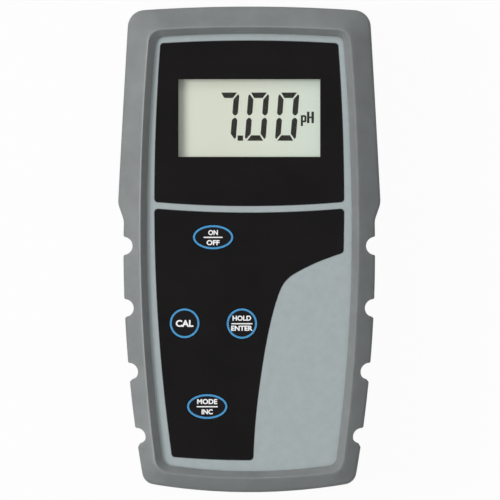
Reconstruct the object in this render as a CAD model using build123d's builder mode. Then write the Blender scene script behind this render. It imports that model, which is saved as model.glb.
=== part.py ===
from build123d import *
import os

os.makedirs("parts", exist_ok=True)

# Handheld pH meter in a rubber boot, lying on its back.
# Millimetres. +Z comes out of the display, +Y points at the connector end, +X is the display's right.
# The origin lies under the middle of the boot, on its back face.

# Case outline, seen from the front
case_width = 70.0
case_top = 71.6
case_bottom = -73.6
case_waist = 6.0
case_top_width = 64.2
case_bottom_width = 59.6
case_top_crown = 1.1
case_bottom_crown = 2.2
case_top_radius = 4.2
case_bottom_radius = 5.0

# Case depth and walls
case_depth = 35.0
rear_shell_depth = 17.5
case_wall = 2.5
front_wall = 2.6
back_wall = 2.5
front_edge_radius = 1.4
back_edge_radius = 1.2

# Rubber boot
boot_back_lip = 3.5
boot_back_overlap = 5.0
boot_ridge_rise = 3.5
boot_lip_rise = 1.5
boot_lip_overlap = 1.9
boot_ridge_outset = 0.1
boot_ridge_flat = 0.5
boot_slope_run = 11.4
boot_slope_drop = 9.0
boot_top_wall = 6.9
boot_bottom_wall = 4.9
boot_top_side_wall = 6.9
boot_upper_side_wall = 6.9
boot_shoulder_wall = 7.5
boot_grip_wall = 5.55
boot_lower_side_wall = 5.75
boot_bottom_side_wall = 4.25
boot_top_crown = 1.5
boot_bottom_crown = 3.1
boot_top_radius = 5.5
boot_bottom_radius = 4.2
boot_shoulder_radius = 6.0
boot_shoulder_y = 14.8
boot_grip_y = 9.4
boot_edge_radius = 2.4
boot_back_radius = 3.0
boot_fit = 0.2
notch_radius = 2.9
notch_mouth_radius = 0.7
notch_depth = 2.95
notch_run_out = 0.03
notch_places = (1.1, -19.0, -39.6, -60.6)

# Films on the front
film_thickness = 0.5
film_recess = 0.8
film_gap = 0.15
film_corner = 1.2
panel_side_margin = 4.4
panel_top_side_margin = 3.45
panel_bottom_side_margin = 4.9
panel_top_margin = 4.2
panel_bottom_margin = 5.5
panel_top_crown = 0.9
panel_waist_crown = 1.5
panel_bottom_crown = 1.1
strip_centre = 14.4
strip_width = 2.2
sweep_start = -0.6
sweep_rows = (-3.5, -6.8, -10.2, -15.1, -22.8, -38.3, -56.4)
sweep_share_across = (0.768, 0.536, 0.382, 0.301, 0.229, 0.134, 0.062)
sweep_foot = 1.2
film_overrun = 2.0
sweep_overrun = 1.0
sweep_grow_share = 0.8

# Display
display_y = 42.4
display_side_margin = 9.2
display_height = 25.1
window_thickness = 1.0
window_rim = 2.2
window_gap = 0.15
window_ledge = 0.3
glass_side_margin = 5.6
glass_height = 33.0
glass_thickness = 1.8
glass_gap = 0.2
frame_wall = 1.8
frame_top_gap = 0.3
frame_lip = 0.6
frame_view_margin = 1.2
contact_strip_end_gap = 1.5
contact_strip_width = 2.2

# Keys: the place along the length and the half sizes of each, and its place across as a share of the film
key_layout = {
    "on_off": (3.9, (6.8, 4.2)),
    "cal": (-23.9, (5.1, 5.1)),
    "hold_enter": (-24.0, (5.2, 5.2)),
    "mode_inc": (-50.8, (6.8, 4.3)),
}
key_share_across = {"on_off": -0.3824, "cal": -0.683, "hold_enter": -0.0784, "mode_inc": -0.4444}
key_gap = 0.15
key_flange = 1.2
key_flange_thickness = 1.0
key_flange_gap = 0.15
key_edge_radius = 0.15
key_stem_radius = 2.0
dome_radius = 4.0
dome_height = 0.75
dome_thickness = 0.15
dome_gap = 0.05

# Main board
board_drop = 4.7
board_thickness = 1.6
board_edge_gap = 1.2
board_top = 62.3
board_bottom = -61.5
board_boss_radius = 2.6
board_boss_clearance = 0.5
board_screw_radius = 0.9
board_screw_hole = 0.95
board_screw_depth = 3.2
board_screw_tip_gap = 0.4
board_screw_head_radius = 1.9
board_screw_head = 1.3
board_screw_side_inset = 6.8
board_screw_rows = (18.4, -57.5)
controller_size = 12.0
controller_height = 1.6
controller_place = (12.0, -2.0)
shield_width = 20.0
shield_length = 16.0
shield_height = 3.2
shield_y = 44.0

# Taller components on the back of the board
crystal_width = 10.2
crystal_depth = 3.8
crystal_height = 3.4
crystal_place = (-6.0, -12.5)
amplifier_width = 6.0
amplifier_depth = 5.0
amplifier_height = 1.6
amplifier_place = (8.5, 44.0)
capacitor_radius = 2.5
capacitor_base = 0.9
capacitor_height = 6.0
capacitor_places = ((21.0, -22.0), (21.0, -29.0))
sounder_radius = 6.0
sounder_height = 3.8
sounder_port_radius = 1.1
sounder_port_depth = 1.2
sounder_place = (-19.0, 4.0)
component_edge_radius = 0.5

# Leads from the connectors up to the board
probe_lead_radius = 0.6
jack_lead_radius = 0.5
jack_lead_pitch = 3.6
lead_turn_gap = 2.2
lead_bend = 1.5

# Case screws
case_screw_radius = 1.2
case_screw_hole = 1.25
case_screw_clearance_hole = 1.4
case_screw_head_radius = 2.4
case_screw_head = 1.8
case_screw_bore = 2.6
case_screw_bore_depth = 6.0
case_screw_reach = 8.5
case_screw_tip_gap = 0.8
case_boss_radius = 3.5
case_screw_inset = 1.4
case_screw_side_inset = 4.6
case_screw_low_y = -44.0

# Seal between the shells
seal_outer_inset = 0.8
seal_width = 0.9
seal_depth = 1.0
seal_gap = 0.05

# Connectors at the top end
connector_opening_side_margin = 13.1
connector_opening_height = 18.0
boot_opening_margin = 1.0
end_collar = 1.8
end_collar_margin = 3.0
panel_plate_thickness = 2.0
panel_plate_margin = 2.0
panel_plate_gap = 0.1
panel_rib_depth = 1.6
panel_rib_overlap = 2.5
socket_share_across = -0.25
socket_barrel_radius = 4.8
socket_barrel_length = 8.8
socket_neck_radius = 4.5
socket_lug_relief = 0.2
socket_barrel_chamfer = 0.4
socket_bore_radius = 4.05
socket_bore_depth = 8.2
socket_flange_radius = 6.35
socket_flange = 1.6
socket_thread_radius = 4.4
socket_thread_gap = 0.1
socket_thread_length = 4.5
socket_lug_radius = 1.0
socket_lug_reach = 5.55
socket_lug_setback = 4.8
socket_insulator_radius = 2.4
socket_insulator_gap = 0.05
socket_insulator_setback = 1.9
socket_insulator_disc = 1.4
socket_contact_radius = 1.05
socket_contact_gap = 0.05
socket_contact_bore = 0.675
socket_contact_bore_depth = 6.0
socket_contact_setback = 0.6
socket_contact_tail = 3.0
socket_nut_size = 13.0
socket_nut = 2.2
socket_washer_radius = 6.6
socket_washer = 0.6
jack_side_margin = 8.5
jack_bush_radius = 3.0
jack_bush_reach = 2.4
jack_bush_gap = 0.1
jack_body_radius = 4.2
jack_body_length = 9.0
jack_bore_radius = 1.27
jack_bore_depth = 11.0
jack_nut_radius = 4.3
jack_nut = 1.8
jack_nut_chamfer = 0.3

# Battery bay in the back
cell_radius = 5.25
cell_length = 44.5
cell_button_radius = 1.9
cell_button = 1.0
cell_pitch = 10.9
cell_count = 4
bay_side_gap = 0.3
bay_depth_gap = 0.3
bay_top_gap = 0.75
bay_wall = 1.5
bay_middle = -35.8
contact_thickness = 0.4
contact_height = 8.0
contact_width = 8.0
contact_tab_width = 2.6
contact_tab_gap = 0.2
spring_length = 3.3
spring_large_radius = 3.6
spring_wire = 0.3
door_thickness = 2.0
door_rim = 2.1
door_end = 6.0
door_gap = 0.15
door_radius = 3.0
door_screw_inset = 2.9
door_screw_radius = 1.2
door_screw_hole = 1.25
door_screw_pass = 1.4
door_screw_length = 8.0
door_screw_tip_gap = 1.0
door_screw_head_radius = 2.1
door_screw_head = 1.1
door_screw_bore = 2.25
door_screw_bore_depth = 1.2
door_boss_radius = 2.8
door_seal_width = 0.8
door_seal_depth = 0.5
door_seal_inset = 0.3

# Tilt stand in the back
stand_width = 44.0
stand_length = 52.0
stand_thickness = 2.4
stand_bar = 7.0
stand_radius = 5.0
stand_hinge_y = 58.0
stand_hinge_depth = 1.9
stand_barrel_radius = 1.7
stand_pin_radius = 1.0
stand_pin_fit = 0.03
stand_pin_grip = 3.0
stand_pin_end_gap = 0.3
stand_gap = 0.4
stand_pocket_wall = 1.6
stand_pocket_side = 4.5
stand_finger_radius = 7.0
stand_grip_length = 14.0
stand_grip_width = 0.8
stand_grip_depth = 0.4
stand_grip_pitch = 1.6
stand_grip_count = 3

# Widths that follow the case
display_width = case_top_width - 2 * display_side_margin
glass_width = case_top_width - 2 * glass_side_margin
panel_half = case_width / 2 - panel_side_margin
connector_opening_width = case_top_width - 2 * connector_opening_side_margin
socket_x = socket_share_across * connector_opening_width
jack_x = connector_opening_width / 2 - jack_side_margin
key_shapes = {
    name: ((key_share_across[name] * panel_half, y), half_sizes)
    for name, (y, half_sizes) in key_layout.items()
}

# Heights worked out from the sizes above
case_back_z = boot_back_lip
case_front_z = case_back_z + case_depth
split_z = case_back_z + rear_shell_depth
front_inner_z = case_front_z - front_wall
back_inner_z = case_back_z + back_wall
boot_top_z = case_front_z + boot_ridge_rise
film_floor_z = case_front_z - film_recess
film_top_z = film_floor_z + film_thickness
window_floor_z = film_floor_z - window_thickness
board_top_z = front_inner_z - board_drop
board_bottom_z = board_top_z - board_thickness
door_inner_z = case_back_z + door_thickness
cell_z = door_inner_z + bay_depth_gap + cell_radius
bay_top_z = cell_z + cell_radius + bay_top_gap
stand_hinge_z = case_back_z + stand_hinge_depth
stand_floor_z = stand_hinge_z + stand_barrel_radius + stand_gap

# Places along the length worked out from the sizes above
end_wall_inner = case_top - case_wall
collar_face = end_wall_inner - end_collar
plate_front = collar_face - panel_plate_gap
plate_back = plate_front - panel_plate_thickness
socket_tip = plate_front + socket_flange + socket_barrel_length
bay_length = cell_length + spring_length + 2 * contact_thickness
bay_width = cell_count * cell_pitch + bay_side_gap
door_width = bay_width + 2 * door_rim
door_length = bay_length + 2 * door_end
cells_x = [(index - (cell_count - 1) / 2) * cell_pitch for index in range(cell_count)]
contact_tab_y = bay_middle + bay_length / 2 - contact_thickness / 2


def case_outline(grow):
    """Tapered outline of the case, moved outwards by grow all round."""
    top, bottom = case_top + grow, case_bottom - grow
    waist = (case_width / 2 + grow, case_waist)
    upper = (case_top_width / 2 + grow, top - case_top_crown)
    lower = (case_bottom_width / 2 + grow, bottom + case_bottom_crown)
    with BuildSketch() as outline:
        with BuildLine():
            TangentArc(waist, upper, tangent=(0, 1))
            TangentArc(waist, lower, tangent=(0, -1))
            ThreePointArc(upper, (0, top), (-upper[0], upper[1]))
            ThreePointArc(lower, (0, bottom), (-lower[0], lower[1]))
            TangentArc((-waist[0], waist[1]), (-upper[0], upper[1]), tangent=(0, 1))
            TangentArc((-waist[0], waist[1]), (-lower[0], lower[1]), tangent=(0, -1))
        make_face()
        fillet(outline.vertices().group_by(Axis.Y)[-1], max(case_top_radius + grow, 0.5))
        fillet(outline.vertices().group_by(Axis.Y)[0], max(case_bottom_radius + grow, 0.5))
    return outline.sketch


def case_half_width(y):
    """Half the width of the case at a place along its length."""
    above = y > case_waist
    end = case_top - case_top_crown if above else case_bottom + case_bottom_crown
    end_width = case_top_width if above else case_bottom_width
    taper = (case_width - end_width) / 2
    run = abs(end - case_waist)
    radius = (run**2 + taper**2) / (2 * taper)
    side = 1 if taper > 0 else -1
    return case_width / 2 - radius + side * (radius**2 - (y - case_waist) ** 2) ** 0.5


# Ends and turning points of the boot: the case plus the rubber's own walls
boot_top = case_top + boot_top_wall
boot_bottom = case_bottom - boot_bottom_wall
boot_upper_y = (boot_top + boot_shoulder_y) / 2
boot_lower_y = (boot_bottom + boot_grip_y) / 2


def boot_profile(grow):
    """Outline of the boot without its grip notches, moved outwards by grow."""
    top, bottom = boot_top + grow, boot_bottom - grow
    top_corner = (case_top_width / 2 + boot_top_side_wall + grow, top - boot_top_crown)
    bottom_corner = (case_bottom_width / 2 + boot_bottom_side_wall + grow, bottom + boot_bottom_crown)
    upper = (case_half_width(boot_upper_y) + boot_upper_side_wall + grow, boot_upper_y)
    shoulder = (case_half_width(boot_shoulder_y) + boot_shoulder_wall + grow, boot_shoulder_y)
    grip = (case_half_width(boot_grip_y) + boot_grip_wall + grow, boot_grip_y)
    lower = (case_half_width(boot_lower_y) + boot_lower_side_wall + grow, boot_lower_y)
    with BuildSketch() as profile:
        with BuildLine():
            ThreePointArc(top_corner, (0, top), (-top_corner[0], top_corner[1]))
            ThreePointArc(bottom_corner, (0, bottom), (-bottom_corner[0], bottom_corner[1]))
            for side in (1, -1):
                ThreePointArc(*[(side * x, y) for x, y in (top_corner, upper, shoulder)])
                Line((side * shoulder[0], shoulder[1]), (side * grip[0], grip[1]))
                ThreePointArc(*[(side * x, y) for x, y in (grip, lower, bottom_corner)])
        make_face()
        fillet(profile.vertices().group_by(Axis.Y)[-1], boot_top_radius)
        fillet(profile.vertices().group_by(Axis.Y)[0], boot_bottom_radius)
        for y in (boot_shoulder_y, boot_grip_y):
            fillet(profile.vertices().filter_by_position(Axis.Y, y - 0.1, y + 0.1), boot_shoulder_radius)
    return profile.sketch


boot_outline = boot_profile(0)


def boot_side(y):
    """Half the width of the boot at a place along its length, without the notches."""
    row = boot_outline & Pos(0, y) * Rectangle(4 * case_width, 0.02, mode=Mode.PRIVATE)
    return row.bounding_box().max.X


def near_notch(corner):
    """Whether a corner of the notched outline is the mouth of a notch."""
    return any(
        0.7 * notch_radius < abs(corner.Y - y) < 1.3 * notch_radius
        and abs(corner.X) > boot_side(y) - notch_radius
        for y in notch_places
    )


# The grip notches, cut into an outline a hair larger so that their rounded mouths run out cleanly
with BuildSketch() as notched_outline:
    add(boot_profile(notch_run_out))
    for y in notch_places:
        x = boot_side(y) + notch_radius - notch_depth
        with Locations((x, y), (-x, y)):
            Circle(notch_radius, mode=Mode.SUBTRACT)
    fillet([corner for corner in notched_outline.vertices() if near_notch(corner)], notch_mouth_radius)

end_plane = Plane(origin=(0, boot_top, split_z), x_dir=(1, 0, 0), z_dir=(0, 1, 0))

with BuildPart() as rubber_boot:
    with BuildSketch():
        add(boot_outline)
    extrude(amount=boot_top_z)
    # The front slopes down from the ridge all round to a soft outer edge
    ridge_edge = boot_ridge_outset + boot_ridge_flat
    with BuildSketch():
        add(case_outline(ridge_edge + boot_slope_run))
    with BuildSketch(Plane.XY.offset(boot_top_z - boot_slope_drop)):
        add(case_outline(ridge_edge + boot_slope_run))
    with BuildSketch(Plane.XY.offset(boot_top_z)):
        add(case_outline(ridge_edge))
    loft(ruled=True, mode=Mode.INTERSECT)
    slope_foot = rubber_boot.edges().filter_by(
        lambda edge: boot_top_z - boot_slope_drop < edge.center().Z < boot_top_z - boot_ridge_flat
        and edge.bounding_box().size.Z < boot_slope_drop / 1.4
    )
    fillet(slope_foot, boot_edge_radius)
    fillet(rubber_boot.edges().group_by(Axis.Z)[0], boot_back_radius)
    # Grip notches down both sides
    with BuildSketch():
        add(notched_outline.sketch)
    extrude(amount=boot_top_z, mode=Mode.INTERSECT)
    # The space that the case fills, and the openings at the back and the front
    with BuildSketch(Plane.XY.offset(case_back_z)):
        add(case_outline(boot_fit))
    extrude(amount=case_depth + boot_fit, mode=Mode.SUBTRACT)
    with BuildSketch():
        add(case_outline(-boot_back_overlap))
    extrude(amount=boot_back_lip, mode=Mode.SUBTRACT)
    with BuildSketch(Plane.XY.offset(case_front_z)):
        add(case_outline(-boot_lip_overlap))
    extrude(amount=boot_lip_rise, mode=Mode.SUBTRACT)
    with BuildSketch(Plane.XY.offset(case_front_z + boot_lip_rise)):
        add(case_outline(-boot_lip_overlap))
    with BuildSketch(Plane.XY.offset(boot_top_z)):
        add(case_outline(boot_ridge_outset))
    loft(ruled=True, mode=Mode.SUBTRACT)
    # The way in for the plugs at the top end
    with BuildSketch(end_plane):
        SlotOverall(
            connector_opening_width + 2 * boot_opening_margin,
            connector_opening_height + 2 * boot_opening_margin,
        )
    extrude(amount=-(boot_top_wall + boot_top_crown), mode=Mode.SUBTRACT)
rubber_boot.part.label = "rubber_boot"
export_step(rubber_boot.part, "parts/rubber_boot.step")

# Films: one outline for both, parted by the strip and trimmed by the sweep
def seal_ring(gap):
    """The seal's path in the rim, open at the connectors, widened by gap."""
    with BuildSketch() as ring:
        add(case_outline(gap - seal_outer_inset))
        add(case_outline(-seal_outer_inset - seal_width - gap), mode=Mode.SUBTRACT)
        with Locations((0, case_top)):
            Rectangle(collar_width - 2 * gap, 4 * case_wall, mode=Mode.SUBTRACT)
    return ring.sketch


def film_outline(upper, grow):
    """The display film when upper is true, else the keypad film, moved outwards by grow."""
    half = panel_half + grow
    top = case_top - panel_top_margin + grow
    bottom = case_bottom + panel_bottom_margin - grow
    top_corner = (case_top_width / 2 - panel_top_side_margin + grow, top - panel_top_crown)
    bottom_corner = (case_bottom_width / 2 - panel_bottom_side_margin + grow, bottom + panel_bottom_crown)
    # Everything on the far side of the strip goes
    edge = strip_centre + (strip_width / 2 - grow if upper else grow - strip_width / 2)
    far_side = case_bottom if upper else case_top
    arc_half = half + film_overrun
    trim_half = max(case_width, case_top_width, case_bottom_width) / 2 + film_overrun
    with BuildSketch() as film:
        with BuildLine():
            for side in (1, -1):
                waist = (side * half, strip_centre)
                TangentArc(waist, (side * top_corner[0], top_corner[1]), tangent=(0, 1))
                TangentArc(waist, (side * bottom_corner[0], bottom_corner[1]), tangent=(0, -1))
            ThreePointArc(top_corner, (0, top), (-top_corner[0], top_corner[1]))
            ThreePointArc(bottom_corner, (0, bottom), (-bottom_corner[0], bottom_corner[1]))
        make_face()
        with BuildLine():
            ThreePointArc((-arc_half, edge), (0, edge - panel_waist_crown), (arc_half, edge))
            Polyline(
                (arc_half, edge),
                (trim_half, edge),
                (trim_half, far_side),
                (-trim_half, far_side),
                (-trim_half, edge),
                (-arc_half, edge),
            )
        make_face(mode=Mode.SUBTRACT)
        if not upper:
            # The sweep that gives the right of the face back to the case
            shift = sweep_grow_share * grow
            across = [share * panel_half + shift for share in sweep_share_across]
            points = [(x, y - shift) for x, y in zip(across, sweep_rows)]
            sweep_side = (half + sweep_overrun, sweep_start - shift)
            with BuildLine():
                sweep = Spline(sweep_side, *points, (sweep_foot + shift, case_bottom))
                Polyline(sweep @ 1, (trim_half, case_bottom), (trim_half, sweep_side[1]), sweep @ 0)
            make_face(mode=Mode.SUBTRACT)
        fillet(film.vertices(), film_corner)
    return film.sketch


display_film = film_outline(True, 0)
keypad_film = film_outline(False, 0)


def key_holes(grow):
    """The four key outlines, moved outwards by grow."""
    with BuildSketch() as holes:
        for centre, half_sizes in key_shapes.values():
            with Locations(centre):
                Ellipse(half_sizes[0] + grow, half_sizes[1] + grow)
    return holes.sketch


# Where the case screws go: two beside the connectors, two beside the battery door
screw_top_x = case_top_width / 2 - case_top_radius - case_screw_inset
screw_top_y = case_top - case_top_crown - case_top_radius - case_screw_inset
screw_low_x = case_half_width(case_screw_low_y) - case_screw_side_inset
case_screw_places = [
    (screw_top_x, screw_top_y),
    (-screw_top_x, screw_top_y),
    (screw_low_x, case_screw_low_y),
    (-screw_low_x, case_screw_low_y),
]
board_screws_at = [
    (side * (case_half_width(y) - board_screw_side_inset), y) for y in board_screw_rows for side in (1, -1)
]

# The plate that holds the connectors, and what catches it in both shells
plate_width = connector_opening_width + 2 * panel_plate_margin
plate_height = connector_opening_height + 2 * panel_plate_margin
collar_width = connector_opening_width + 2 * end_collar_margin
collar_half_height = connector_opening_height / 2 + end_collar_margin
rib_inner_x = plate_width / 2 - panel_rib_overlap
rib_width = screw_top_x - rib_inner_x
rib_x = rib_inner_x + rib_width / 2
rib_y = plate_back - panel_plate_gap - panel_rib_depth / 2
frame_width = glass_width + 2 * (glass_gap + frame_wall)
frame_height = glass_height + 2 * (glass_gap + frame_wall)

with BuildPart() as front_housing:
    with BuildSketch(Plane.XY.offset(split_z)):
        add(case_outline(0))
    extrude(amount=case_front_z - split_z)
    fillet(front_housing.edges().group_by(Axis.Z)[-1], front_edge_radius)
    with BuildSketch(Plane.XY.offset(split_z)):
        add(case_outline(-case_wall))
    extrude(amount=front_inner_z - split_z, mode=Mode.SUBTRACT)
    # Shallow beds for the two films
    with BuildSketch(Plane.XY.offset(film_floor_z)):
        add(film_outline(True, film_gap))
        add(film_outline(False, film_gap))
    extrude(amount=film_recess, mode=Mode.SUBTRACT)
    # Seat of the display window, and the opening behind it
    with BuildSketch(Plane.XY.offset(window_floor_z)):
        with Locations((0, display_y)):
            Rectangle(
                display_width + 2 * (window_rim + window_gap),
                display_height + 2 * (window_rim + window_gap),
            )
    extrude(amount=window_thickness, mode=Mode.SUBTRACT)
    with BuildSketch(Plane.XY.offset(front_inner_z)):
        with Locations((0, display_y)):
            Rectangle(display_width + 2 * window_ledge, display_height + 2 * window_ledge)
        add(key_holes(0))
    extrude(amount=front_wall, mode=Mode.SUBTRACT)
    # Bosses for the case screws and for the board
    with BuildSketch(Plane.XY.offset(split_z)):
        with Locations(*case_screw_places):
            Circle(case_boss_radius)
    extrude(amount=front_inner_z - split_z)
    with BuildSketch(Plane.XY.offset(board_top_z)):
        with Locations(*board_screws_at):
            Circle(board_boss_radius)
    extrude(amount=front_inner_z - board_top_z)
    # Collar round the connector opening, and ribs behind the connector plate
    with BuildSketch(Plane.XY.offset(split_z)):
        with Locations((0, (collar_face + case_top - case_wall / 2) / 2)):
            Rectangle(collar_width, case_top - case_wall / 2 - collar_face)
    extrude(amount=collar_half_height)
    with BuildSketch(Plane.XY.offset(split_z)):
        with Locations((rib_x, rib_y), (-rib_x, rib_y)):
            Rectangle(rib_width, panel_rib_depth)
    extrude(amount=collar_half_height)
    # Screw holes and the connector opening
    with BuildSketch(Plane.XY.offset(split_z)):
        with Locations(*case_screw_places):
            Circle(case_screw_hole)
    extrude(amount=case_screw_reach + case_screw_tip_gap, mode=Mode.SUBTRACT)
    with BuildSketch(Plane.XY.offset(board_top_z)):
        with Locations(*board_screws_at):
            Circle(board_screw_hole)
    extrude(amount=board_screw_depth, mode=Mode.SUBTRACT)
    with BuildSketch(end_plane):
        SlotOverall(connector_opening_width, connector_opening_height)
    extrude(amount=-(boot_top - collar_face), mode=Mode.SUBTRACT)
front_housing.part.label = "front_housing"
export_step(front_housing.part, "parts/front_housing.step")

# The battery door, its bay and the stand, seen from the back
bay_centre = (0, bay_middle)
door_screws_at = [(0, bay_middle + end * (door_length / 2 - door_screw_inset)) for end in (1, -1)]
stand_top = stand_hinge_y + stand_barrel_radius + stand_gap
stand_bottom = stand_hinge_y - stand_length - stand_gap
stand_middle = (0, (stand_top + stand_bottom) / 2)
hinge_block = 2 * (stand_barrel_radius + stand_gap + stand_pocket_wall)
hinge_plane = Plane(origin=(0, stand_hinge_y, stand_hinge_z), x_dir=(0, 1, 0), z_dir=(1, 0, 0))

with BuildPart() as rear_housing:
    with BuildSketch(Plane.XY.offset(case_back_z)):
        add(case_outline(0))
    extrude(amount=rear_shell_depth)
    fillet(rear_housing.edges().group_by(Axis.Z)[0], back_edge_radius)
    with BuildSketch(Plane.XY.offset(back_inner_z)):
        add(case_outline(-case_wall))
    extrude(amount=split_z - back_inner_z, mode=Mode.SUBTRACT)
    # Raised floors of the battery bay and of the stand's pocket
    with BuildSketch(Plane.XY.offset(back_inner_z)):
        with Locations(bay_centre):
            Rectangle(bay_width + 2 * bay_wall, bay_length + 2 * bay_wall)
    extrude(amount=bay_top_z + bay_wall - back_inner_z)
    with BuildSketch(Plane.XY.offset(back_inner_z)):
        with Locations(bay_centre):
            Rectangle(door_width + 2 * bay_wall, door_length + 2 * bay_wall)
    extrude(amount=door_thickness)
    with BuildSketch(Plane.XY.offset(back_inner_z)):
        with Locations(stand_middle):
            Rectangle(
                stand_width + 2 * (stand_gap + stand_pocket_wall),
                stand_top - stand_bottom + 2 * stand_pocket_wall,
            )
        with Locations((0, stand_hinge_y)):
            Rectangle(stand_width + 2 * (stand_gap + stand_pocket_side), hinge_block)
        with Locations((0, stand_bottom)):
            Circle(stand_finger_radius + stand_pocket_wall)
    extrude(amount=stand_floor_z + stand_pocket_wall - back_inner_z)
    # Bosses
    with BuildSketch(Plane.XY.offset(back_inner_z)):
        with Locations(*case_screw_places):
            Circle(case_boss_radius)
    extrude(amount=split_z - back_inner_z)
    with BuildSketch(Plane.XY.offset(back_inner_z)):
        with Locations(*door_screws_at):
            Circle(door_boss_radius)
    extrude(amount=door_inner_z + door_screw_length + bay_wall - back_inner_z)
    # Collar and ribs for the connector plate
    with BuildSketch(Plane.XY.offset(split_z)):
        with Locations((0, (collar_face + case_top - case_wall / 2) / 2)):
            Rectangle(collar_width, case_top - case_wall / 2 - collar_face)
    extrude(amount=-collar_half_height)
    with BuildSketch(Plane.XY.offset(split_z)):
        with Locations((rib_x, rib_y), (-rib_x, rib_y)):
            Rectangle(rib_width, panel_rib_depth)
    extrude(amount=-collar_half_height)
    # The bay, the bed of its door, and the pocket of the stand
    with BuildSketch(Plane.XY.offset(case_back_z)):
        with Locations(bay_centre):
            Rectangle(bay_width, bay_length)
    extrude(amount=bay_top_z - case_back_z, mode=Mode.SUBTRACT)
    with BuildSketch(Plane.XY.offset(case_back_z)):
        with Locations(bay_centre):
            RectangleRounded(door_width + 2 * door_gap, door_length + 2 * door_gap, door_radius + door_gap)
    extrude(amount=door_thickness, mode=Mode.SUBTRACT)
    with BuildSketch(Plane.XY.offset(case_back_z)):
        with Locations(stand_middle):
            RectangleRounded(
                stand_width + 2 * stand_gap, stand_top - stand_bottom, stand_radius + stand_gap
            )
        with Locations((0, stand_top - stand_radius)):
            Rectangle(stand_width + 2 * stand_gap, 2 * stand_radius)
        with Locations((0, stand_bottom)):
            Circle(stand_finger_radius)
    extrude(amount=stand_floor_z - case_back_z, mode=Mode.SUBTRACT)
    with BuildSketch(hinge_plane):
        Circle(stand_pin_radius + stand_pin_fit)
    extrude(
        amount=stand_width / 2 + stand_gap + stand_pin_grip + stand_pin_end_gap,
        both=True,
        mode=Mode.SUBTRACT,
    )
    # Slots in the bay's roof for the tabs of the two end contacts
    with BuildSketch(Plane.XY.offset(bay_top_z)):
        with Locations((cells_x[0], contact_tab_y), (cells_x[-1], contact_tab_y)):
            Rectangle(contact_tab_width + 2 * contact_tab_gap, contact_thickness + 2 * contact_tab_gap)
    extrude(amount=bay_wall, mode=Mode.SUBTRACT)
    # Screw holes
    with BuildSketch(Plane.XY.offset(case_back_z)):
        with Locations(*case_screw_places):
            Circle(case_screw_clearance_hole)
    extrude(amount=rear_shell_depth, mode=Mode.SUBTRACT)
    with BuildSketch(Plane.XY.offset(case_back_z)):
        with Locations(*case_screw_places):
            Circle(case_screw_bore)
    extrude(amount=case_screw_bore_depth, mode=Mode.SUBTRACT)
    with BuildSketch(Plane.XY.offset(door_inner_z)):
        with Locations(*door_screws_at):
            Circle(door_screw_hole)
    extrude(amount=door_screw_length, mode=Mode.SUBTRACT)
    # The connector opening, and the groove of the seal in the rim
    with BuildSketch(end_plane):
        SlotOverall(connector_opening_width, connector_opening_height)
    extrude(amount=-(boot_top - collar_face), mode=Mode.SUBTRACT)
    with BuildSketch(Plane.XY.offset(split_z)):
        add(seal_ring(seal_gap))
    extrude(amount=-seal_depth, mode=Mode.SUBTRACT)
rear_housing.part.label = "rear_housing"
export_step(rear_housing.part, "parts/rear_housing.step")

# Seal laid in the rear shell's rim
with BuildPart() as housing_seal:
    with BuildSketch(Plane.XY.offset(split_z - seal_depth)):
        add(seal_ring(0))
    extrude(amount=seal_depth)
housing_seal.part.label = "housing_seal"
export_step(housing_seal.part, "parts/housing_seal.step")

# Case screws, put in from the back
screw_head_z = case_back_z + case_screw_bore_depth
with BuildPart() as housing_screws:
    with BuildSketch(Plane.XY.offset(screw_head_z - case_screw_head)):
        with Locations(*case_screw_places):
            Circle(case_screw_head_radius)
    extrude(amount=case_screw_head)
    with BuildSketch(Plane.XY.offset(screw_head_z)):
        with Locations(*case_screw_places):
            Circle(case_screw_radius)
    extrude(amount=split_z + case_screw_reach - screw_head_z)
    rims = housing_screws.edges().filter_by(GeomType.CIRCLE).group_by(Axis.Z)[0]
    chamfer(rims, case_screw_head / 4)
housing_screws.part.label = "housing_screws"
export_step(housing_screws.part, "parts/housing_screws.step")

# Films and window of the front
with BuildPart() as display_overlay:
    with BuildSketch(Plane.XY.offset(film_floor_z)):
        add(display_film)
        with Locations((0, display_y)):
            Rectangle(display_width, display_height, mode=Mode.SUBTRACT)
    extrude(amount=film_thickness)
display_overlay.part.label = "display_overlay"
export_step(display_overlay.part, "parts/display_overlay.step")

with BuildPart() as keypad_overlay:
    with BuildSketch(Plane.XY.offset(film_floor_z)):
        add(keypad_film)
        add(key_holes(0), mode=Mode.SUBTRACT)
    extrude(amount=film_thickness)
keypad_overlay.part.label = "keypad_overlay"
export_step(keypad_overlay.part, "parts/keypad_overlay.step")

with BuildPart() as display_window:
    with BuildSketch(Plane.XY.offset(window_floor_z)):
        with Locations((0, display_y)):
            Rectangle(display_width + 2 * window_rim, display_height + 2 * window_rim)
    extrude(amount=window_thickness)
display_window.part.label = "display_window"
export_step(display_window.part, "parts/display_window.step")

# Liquid crystal display: glass in its frame, on two rubber contact strips
frame_top_z = front_inner_z - frame_top_gap
glass_top_z = frame_top_z - frame_lip
glass_bottom_z = glass_top_z - glass_thickness
with BuildPart() as lcd_frame:
    with BuildSketch(Plane.XY.offset(board_top_z)):
        with Locations((0, display_y)):
            RectangleRounded(frame_width, frame_height, frame_wall / 2)
    extrude(amount=frame_top_z - board_top_z)
    with BuildSketch(Plane.XY.offset(board_top_z)):
        with Locations((0, display_y)):
            Rectangle(glass_width + 2 * glass_gap, glass_height + 2 * glass_gap)
    extrude(amount=glass_top_z - board_top_z, mode=Mode.SUBTRACT)
    with BuildSketch(Plane.XY.offset(glass_top_z)):
        with Locations((0, display_y)):
            Rectangle(display_width + 2 * frame_view_margin, display_height + 2 * frame_view_margin)
    extrude(amount=frame_lip, mode=Mode.SUBTRACT)
lcd_frame.part.label = "lcd_frame"
export_step(lcd_frame.part, "parts/lcd_frame.step")

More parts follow.
